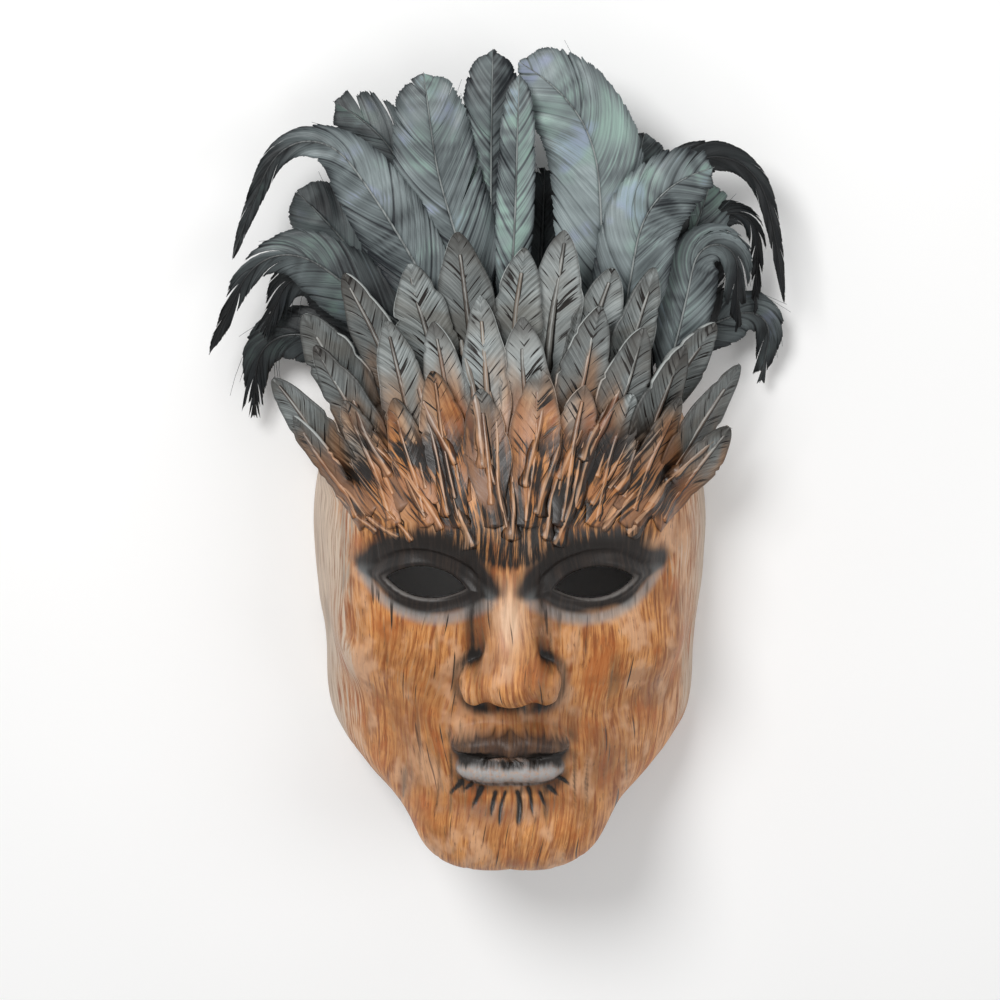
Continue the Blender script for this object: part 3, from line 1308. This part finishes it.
def streaks_group():
    """Long brush streaks, broad patches, fine flecks and thin strokes along the second axis of a place in
    millimetres."""
    outputs = {"Streaks": "value", "Patches": "value", "Flecks": "value", "Strokes": "value"}
    tree, given, out = new_group("brush streaks", {"Place": "vector"}, outputs)
    place = given["Place"]
    streaks = noise(tree, stretched(tree, place, (1.0, 0.06, 0.6)), 0.75, 5, 0.65)
    patches = noise(tree, stretched(tree, place, (1.0, 0.6, 1.0)), 0.07, 3, 0.6)
    flecks = noise(tree, stretched(tree, place, (1.0, 0.14, 0.7)), 0.95, 4, 0.7)
    strokes = noise(tree, stretched(tree, place, (1.0, 0.05, 1.0)), 0.6, 1, 0.4)
    tree.links.new(streaks, out["Streaks"])
    tree.links.new(patches, out["Patches"])
    tree.links.new(fit(tree, flecks, 0.56, 0.7), out["Flecks"])
    tree.links.new(fit(tree, strokes, 0.65, 0.72), out["Strokes"])
    return tree


def aged_group():
    """Paint with a dark wash rubbed into its hollows and a pale dry brush over its raised places."""
    inputs = {
        "Paint": "colour", "Wash": "colour", "Dry Brush": "colour",
        "Hollow": "value", "Raised": "value", "Break": "value",
    }
    tree, given, out = new_group("aged paint", inputs, {"Colour": "colour", "Wet": "value"})
    broken = fit(tree, given["Break"], 0.3, 0.7, -0.16, 0.16)
    hollow = fit(tree, plus(tree, given["Hollow"], broken), 0.1, 0.95)
    raised = fit(tree, plus(tree, given["Raised"], broken), 0.35, 1.0)
    washed = mix(tree, hollow, given["Paint"], given["Wash"])
    tree.links.new(mix(tree, times(tree, raised, 0.75), washed, given["Dry Brush"]), out["Colour"])
    tree.links.new(hollow, out["Wet"])
    return tree


def wood_group():
    """Ochre brushed over brown, paler in some patches and redder in others."""
    inputs = {"Streaks": "value", "Patches": "value"}
    tree, given, out = new_group("wood paint", inputs, {"Colour": "colour"})
    colour = mix(tree, fit(tree, given["Streaks"], 0.36, 0.64), paint("8b4d20"), paint("dc9a59"))
    colour = mix(tree, fit(tree, given["Patches"], 0.48, 0.64, 0, 0.7), colour, paint("dcac85"))
    colour = mix(tree, fit(tree, given["Patches"], 0.48, 0.34, 0, 0.65), colour, paint("ad5c20"))
    tree.links.new(colour, out["Colour"])
    return tree


def skin_group():
    """Height of the fine unevenness of cast and painted rubber, for a place in millimetres."""
    inputs = {"Place": "vector", "Streaks": "value", "Groove": "value"}
    tree, given, out = new_group("rubber skin", inputs, {"Height": "value"})
    pores = noise(tree, given["Place"], 1.6, 3, 0.6)
    height = plus(tree, times(tree, given["Streaks"], 0.6), times(tree, pores, 0.35))
    height = minus(tree, height, times(tree, given["Groove"], 0.5))
    tree.links.new(height, out["Height"])
    return tree


# Materials

BLACK_WASH = "19130f"
BURNT_ORANGE = "84491d"


def wood_colour(tree, groups, streaks):
    """Wood paint over brush streaks."""
    inputs = {"Streaks": streaks["Streaks"], "Patches": streaks["Patches"]}
    return grouped(tree, groups["wood"], inputs)["Colour"]


def burnt_wood(tree, groups, streaks):
    """Wood paint that is burnt orange in some patches."""
    burnt = fit(tree, streaks["Patches"], 0.35, 0.6, 0.15, 0.6)
    return mix(tree, burnt, wood_colour(tree, groups, streaks), paint(BURNT_ORANGE))


def forehead_wash(tree, streaks):
    """Black streaks in bundles over the forehead, which close up towards the brow."""
    bundles = times(tree, minus(tree, streaks["Patches"], 0.5), 1.1)
    fan = fit(tree, plus(tree, streaks["Streaks"], bundles), 0.62, 0.42)
    fan = times(tree, mask(tree, "forehead"), fan)
    brow = times(tree, mask(tree, "brow"), fit(tree, streaks["Streaks"], 0.38, 0.64, 1.25, 0.35))
    return larger(tree, fan, brow)


def new_material(name):
    """A material without nodes, and its tree."""
    material = bpy.data.materials.new(name)
    material.use_nodes = True
    tree = material.node_tree
    tree.nodes.clear()
    return material, tree


def finish_material(tree, settings, colour, roughness, height, distance):
    """Ends a material in a Principled shader with a bump, whose distance is in millimetres."""
    bump = node(tree, "ShaderNodeBump", {"Height": height, "Strength": 0.6, "Distance": distance / 1000})
    inputs = {"Base Color": colour, "Roughness": roughness, "Normal": bump.outputs[0]} | settings
    shader = node(tree, "ShaderNodeBsdfPrincipled", inputs)
    node(tree, "ShaderNodeOutputMaterial", {"Surface": shader.outputs[0]})


def millimetres(tree):
    """The place in the object's own axes, in millimetres."""
    return stretched(tree, node(tree, "ShaderNodeTexCoord").outputs["Object"], (1000, 1000, 1000))


def flat_place(tree, across, along):
    """A place on a surface, from two masks in millimetres."""
    inputs = {0: mask(tree, across), 1: mask(tree, along), 2: 0.0}
    return node(tree, "ShaderNodeCombineXYZ", inputs).outputs[0]


def brushed(tree):
    """The place on the casting along which its paint is brushed."""
    return flat_place(tree, "flow", "down")


def face_wood(tree, groups, place, streaks):
    """Blotted and flecked wood, ashen where it fades, warm where it glows and pale at the sides."""
    colour = wood_colour(tree, groups, streaks)
    blots = plus(tree, noise(tree, place, 0.045, 3, 0.6), times(tree, streaks["Streaks"], 0.35))
    colour = mix(tree, fit(tree, blots, 0.7, 0.82, 0, 0.4), colour, paint("7a4821"))
    colour = mix(tree, times(tree, streaks["Flecks"], 0.6), colour, paint("4a2c1b"))
    ash = mix(tree, fit(tree, streaks["Streaks"], 0.35, 0.65), paint("4c4d4c"), paint("8a8a86"))
    colour = mix(tree, mask(tree, "fade"), colour, ash)
    glow = times(tree, mask(tree, "glow"), fit(tree, streaks["Streaks"], 0.3, 0.6, 0.5, 1.0))
    colour = mix(tree, glow, colour, paint("e0bc9c"))
    pale = mix(tree, fit(tree, streaks["Streaks"], 0.36, 0.6), paint("a08a78"), paint("ccb7a2"))
    ragged = plus(tree, mask(tree, "side"), fit(tree, streaks["Streaks"], 0.3, 0.7, -0.4, 0.4))
    return mix(tree, fit(tree, ragged, 0.2, 0.85), colour, pale)


def eye_paint(tree, place, streaks, colour):
    """Black smudged round each eye opening, with a grey ring and a worn rim on its lower side."""
    gap, side = mask(tree, "eye_gap"), mask(tree, "eye_side")
    smudge = fit(tree, noise(tree, place, 0.07, 1, 0.5), 0.3, 0.7, -1.3, 1.3)
    reach = plus(tree, fit(tree, side, 0, 1, 6.5, 14), smudge)
    dark = fit(tree, minus(tree, reach, gap), -3.2, 2.2)
    black = mix(tree, fit(tree, streaks["Streaks"], 0.4, 0.7), paint("16110f"), paint("372b24"))
    colour = mix(tree, dark, colour, black)
    below = minus(tree, 1.0, side)
    ring = times(tree, fit(tree, gap, 5.0, 7.5), fit(tree, gap, 12.0, 8.5))
    ring = times(tree, ring, below)
    colour = mix(tree, times(tree, ring, 0.6), colour, paint("979b9b"))
    rim = times(tree, fit(tree, gap, 1.3, 0.5, 0, 0.45), below)
    return mix(tree, rim, colour, paint("8b8682"))


def lip_paint(tree, place, streaks, colour):
    """A dark upper lip, and a lower lip with worn grey on it."""
    upper = times(tree, mask(tree, "upper_lip"), fit(tree, streaks["Streaks"], 0.3, 0.65, 1.0, 0.85))
    colour = mix(tree, upper, colour, paint("33241c"))
    worn = fit(tree, noise(tree, place, 0.6, 4, 0.7), 0.3, 0.6, 0.55, 0.95)
    return mix(tree, times(tree, mask(tree, "lower_lip"), worn), colour, paint("9a9b9b"))


def face_paint(groups):
    """Ochre and brown brushed down the face like old wood, with black rubbed into every hollow."""
    material, tree = new_material("painted_rubber_face")
    place = millimetres(tree)
    streaks = grouped(tree, groups["streaks"], {"Place": brushed(tree)})
    colour = face_wood(tree, groups, place, streaks)
    colour = eye_paint(tree, place, streaks, colour)
    colour = lip_paint(tree, place, streaks, colour)
    strokes = times(tree, streaks["Strokes"], times(tree, mask(tree, "bare"), mask(tree, "front")))
    hollow = plus(tree, times(tree, mask(tree, "hollow"), 1.75), mask(tree, "groove"))
    for other in (forehead_wash(tree, streaks), times(tree, strokes, 0.75)):
        hollow = larger(tree, hollow, other)
    raised = times(tree, mask(tree, "hollow"), -0.7)
    aged = grouped(tree, groups["aged"], {
        "Paint": colour, "Wash": paint(BLACK_WASH), "Dry Brush": paint("ecc9a4"),
        "Hollow": hollow, "Raised": raised, "Break": streaks["Streaks"],
    })
    skin = grouped(tree, groups["skin"], {"Place": place, "Streaks": streaks["Streaks"], "Groove": strokes})
    roughness = fit(tree, aged["Wet"], 0, 1, 0.52, 0.4)
    finish_material(tree, {"Specular IOR Level": 0.45}, aged["Colour"], roughness, skin["Height"], 0.35)
    return material


def bare_rubber(groups):
    """The unpainted inside, dark and dull."""
    material, tree = new_material("bare_rubber_inside")
    place = millimetres(tree)
    streaks = grouped(tree, groups["streaks"], {"Place": place})
    colour = mix(tree, fit(tree, streaks["Patches"], 0.35, 0.65), paint("2b2019"), paint("4a372a"))
    colour = mix(tree, times(tree, streaks["Flecks"], 0.4), colour, paint("6b5442"))
    skin = grouped(tree, groups["skin"], {"Place": place, "Streaks": streaks["Patches"], "Groove": 0.0})
    roughness = fit(tree, streaks["Patches"], 0.3, 0.7, 0.55, 0.75)
    finish_material(tree, {"Specular IOR Level": 0.4}, colour, roughness, skin["Height"], 0.5)
    return material


def blade_colour(tree, groups, streaks, patches):
    """Orange at the foot, then brown, then slate grey, with a dark tip. Some blades are lighter or darker."""
    orange = burnt_wood(tree, groups, patches)
    orange = mix(tree, times(tree, streaks["Flecks"], 0.5), orange, paint("3b2417"))
    grey = mix(tree, fit(tree, streaks["Streaks"], 0.35, 0.66), paint("636a6a"), paint("a4abaa"))
    grey = mix(tree, fit(tree, patches["Patches"], 0.42, 0.66, 0, 0.6), grey, paint("746f66"))
    brown = mix(tree, fit(tree, patches["Streaks"], 0.35, 0.66), paint("77583f"), paint("b8977a"))
    fade, light = mask(tree, "fade"), mask(tree, "light")
    colour = mix(tree, fit(tree, fade, 0.0, 0.55), orange, brown)
    colour = mix(tree, fit(tree, fade, 0.4, 1.0), colour, grey)
    lighter = times(tree, fit(tree, light, 0.55, 1.0, 0, 0.5), fade)
    colour = mix(tree, lighter, colour, paint("b2b7b6"))
    colour = mix(tree, fit(tree, light, 0.45, 0.0, 0, 0.5), colour, paint("373431"))
    tip = times(tree, fit(tree, mask(tree, "along"), 0.78, 0.98), fit(tree, patches["Patches"], 0.35, 0.65))
    colour = mix(tree, times(tree, tip, 0.75), colour, paint("2c2622"))
    return mix(tree, times(tree, mask(tree, "shadow"), 0.55), colour, paint("25211e"))


def blade_paint(groups):
    """The moulded feathers: orange at the foot, slate grey above, dry-brushed on ribs and rims."""
    material, tree = new_material("painted_rubber_feathers")
    barbs = flat_place(tree, "barb", "off")
    streaks = grouped(tree, groups["streaks"], {"Place": barbs})
    patches = grouped(tree, groups["streaks"], {"Place": brushed(tree)})
    strokes = noise(tree, stretched(tree, barbs, (1.0, 0.12, 1.0)), 0.62, 1, 0.4)
    strokes = times(tree, fit(tree, strokes, 0.59, 0.65), mask(tree, "open"))
    groove = larger(tree, mask(tree, "groove"), strokes)
    rim = times(tree, mask(tree, "rim"), fit(tree, patches["Patches"], 0.4, 0.52))
    raised = plus(tree, times(tree, rim, 1.1), fit(tree, streaks["Streaks"], 0.5, 0.75, 0, 0.3))
    aged = grouped(tree, groups["aged"], {
        "Paint": blade_colour(tree, groups, streaks, patches), "Wash": paint(BLACK_WASH),
        "Dry Brush": mix(tree, mask(tree, "fade"), paint("cf9c74"), paint("b6bbb9")),
        "Hollow": larger(tree, groove, forehead_wash(tree, patches)),
        "Raised": raised, "Break": patches["Streaks"],
    })
    skin = grouped(tree, groups["skin"], {
        "Place": barbs, "Streaks": streaks["Streaks"], "Groove": times(tree, strokes, 2.5),
    })
    roughness = fit(tree, streaks["Streaks"], 0.3, 0.7, 0.36, 0.52)
    finish_material(tree, {"Specular IOR Level": 0.5}, aged["Colour"], roughness, skin["Height"], 0.35)
    return material


def quill_paint(groups):
    """Raised quills and roots, pale along their tops and black at their sides."""
    material, tree = new_material("painted_rubber_quills")
    place = millimetres(tree)
    streaks = grouped(tree, groups["streaks"], {"Place": brushed(tree)})
    fade, light, top = mask(tree, "fade"), mask(tree, "light"), mask(tree, "top")
    grey = mix(tree, fit(tree, streaks["Streaks"], 0.36, 0.64), paint("4d4b48"), paint("8e8d88"))
    colour = mix(tree, fade, burnt_wood(tree, groups, streaks), grey)
    colour = mix(tree, fit(tree, light, 0.6, 1, 0, 0.4), colour, paint("b39c85"))
    colour = mix(tree, fit(tree, light, 0.4, 0, 0, 0.5), colour, paint("46301f"))
    wash = times(tree, forehead_wash(tree, streaks), 0.9)
    aged = grouped(tree, groups["aged"], {
        "Paint": colour, "Wash": paint("1a130e"),
        "Dry Brush": mix(tree, fade, paint("c99e7c"), paint("b4b7b4")),
        "Hollow": larger(tree, fit(tree, top, 0.7, 0.2, 0, 0.85), wash),
        "Raised": fit(tree, top, 0.8, 1.0, 0, 0.85), "Break": streaks["Streaks"],
    })
    skin = grouped(tree, groups["skin"], {"Place": place, "Streaks": streaks["Streaks"], "Groove": 0.0})
    roughness = fit(tree, streaks["Streaks"], 0.3, 0.7, 0.3, 0.46)
    finish_material(tree, {"Specular IOR Level": 0.5}, aged["Colour"], roughness, skin["Height"], 0.35)
    return material


def plume_black():
    """Black cock feathers: slate where the light catches them, with green and violet in places."""
    material, tree = new_material("black_feather_barbs")
    place = millimetres(tree)
    tone, shade = mask(tree, "tone"), mask(tree, "shade")
    colour = mix(tree, tone, paint("1c2126"), paint("a3b0b1"))
    green = fit(tree, noise(tree, place, 0.03, 2, 0.5), 0.46, 0.6)
    green = times(tree, green, fit(tree, tone, 0.35, 0.8))
    colour = mix(tree, times(tree, green, 0.55), colour, paint("98bfac"))
    violet = fit(tree, noise(tree, place, 0.045, 2, 0.5), 0.45, 0.36)
    violet = times(tree, violet, fit(tree, tone, 0.4, 0.8))
    colour = mix(tree, times(tree, violet, 0.5), colour, paint("939ac0"))
    colour = mix(tree, shade, colour, mix(tree, tone, paint("040506"), paint("1f2326")))
    fine = noise(tree, place, 2.2, 2, 0.5)
    sheen = {
        "Specular IOR Level": 0.35,
        "Sheen Weight": 0.05, "Sheen Roughness": 0.35, "Sheen Tint": paint("b8c9cc"),
    }
    finish_material(tree, sheen, colour, fit(tree, tone, 0, 1, 0.5, 0.36), fine, 0.15)
    return material


def plume_quill(groups):
    """The quills of the loose feathers, slate grey and darker where their vanes are black."""
    material, tree = new_material("black_feather_quill")
    place = millimetres(tree)
    streaks = grouped(tree, groups["streaks"], {"Place": place})
    colour = mix(tree, fit(tree, streaks["Streaks"], 0.3, 0.6), paint("33373a"), paint("949a99"))
    colour = mix(tree, mask(tree, "shade"), colour, paint("101113"))
    finish_material(tree, {"Specular IOR Level": 0.6}, colour, 0.38, streaks["Streaks"], 0.1)
    return material


def elastic_weave():
    """Black ribbed elastic: rubber ribs under a plain weave, with some dust."""
    material, tree = new_material("ribbed_elastic")
    run, across = mask(tree, "run"), mask(tree, "across")
    weft = maths(tree, "SINE", times(tree, run, 2 * math.pi / 0.55))
    warp = maths(tree, "SINE", times(tree, across, 2 * math.pi / 0.7))
    height = times(tree, weft, warp)
    colour = mix(tree, fit(tree, height, -1, 1), paint("0b0b0c"), paint("2a2a2b"))
    dust = fit(tree, noise(tree, millimetres(tree), 0.35, 3, 0.6), 0.55, 0.75, 0, 0.4)
    colour = mix(tree, dust, colour, paint("4a4947"))
    finish_material(tree, {"Sheen Weight": 0.3, "Specular IOR Level": 0.3}, colour, 0.85, height, 0.25)
    return material


# Floor and light


def make_floor():
    """A wide pale floor under the mask."""
    size = 6.0
    mesh = bpy.data.meshes.new("floor")
    corners = [(-size, -size, 0), (size, -size, 0), (size, size, 0), (-size, size, 0)]
    mesh.from_pydata(corners, [], [(0, 1, 2, 3)])
    material, tree = new_material("pale_floor")
    place = node(tree, "ShaderNodeTexCoord").outputs["Object"]
    colour = mix(tree, noise(tree, place, 3.0, 2, 0.5), paint("f4f4f3"), paint("ffffff"))
    finish_material(tree, {}, colour, 0.8, 0.0, 0.1)
    mesh.materials.append(material)
    floor = bpy.data.objects.new("floor", mesh)
    bpy.context.scene.collection.objects.link(floor)


def soft_light(name, direction, distance, size, power):
    """A round lamp that shines on the mask from a direction."""
    data = bpy.data.lights.new(name, "AREA")
    data.shape = "DISK"
    data.size = size
    data.energy = power
    light = bpy.data.objects.new(name, data)
    bpy.context.scene.collection.objects.link(light)
    middle = Vector((ORIGIN[0], ORIGIN[1] + 0.15, 0.04))
    light.location = middle + Vector(direction).normalized() * distance
    light.rotation_mode = "QUATERNION"
    light.rotation_quaternion = aim(direction)


def make_light():
    """An even white sky, a key light from above on the left, and two weaker lights."""
    world = bpy.data.worlds.new("studio")
    world.use_nodes = True
    world.node_tree.nodes["Background"].inputs[0].default_value = (1, 1, 1, 1)
    world.node_tree.nodes["Background"].inputs[1].default_value = 0.42
    bpy.context.scene.world = world
    soft_light("key", (-0.5, 0.75, 1.1), 1.4, 0.6, 13)
    soft_light("fill", (0.9, 0.1, 0.9), 1.5, 0.8, 4)
    soft_light("low", (0.1, -1.0, 0.8), 1.6, 0.9, 2)


# The whole mask

bpy.context.scene.view_settings.view_transform = "Standard"
make_camera()
make_floor()
make_light()

FIRST_FEATHER_SEED = 900

groups = {"streaks": streaks_group(), "aged": aged_group(), "wood": wood_group(), "skin": skin_group()}
blade_material, quill_material = blade_paint(groups), quill_paint(groups)
carriers = [cast_shell([face_paint(groups), bare_rubber(groups)])]
carriers += [moulded_row(row_name, [blade_material]) for row_name in BROW_ROWS]
moulded_quills([quill_material])
brow_roots([quill_material], carriers)
plume_materials = [plume_black(), plume_quill(groups)]
for number, (feather_name, feather) in enumerate(LOOSE_FEATHERS.items()):
    loose_feather(feather_name, feather, FIRST_FEATHER_SEED + number, plume_materials)
elastic_strap([elastic_weave()])
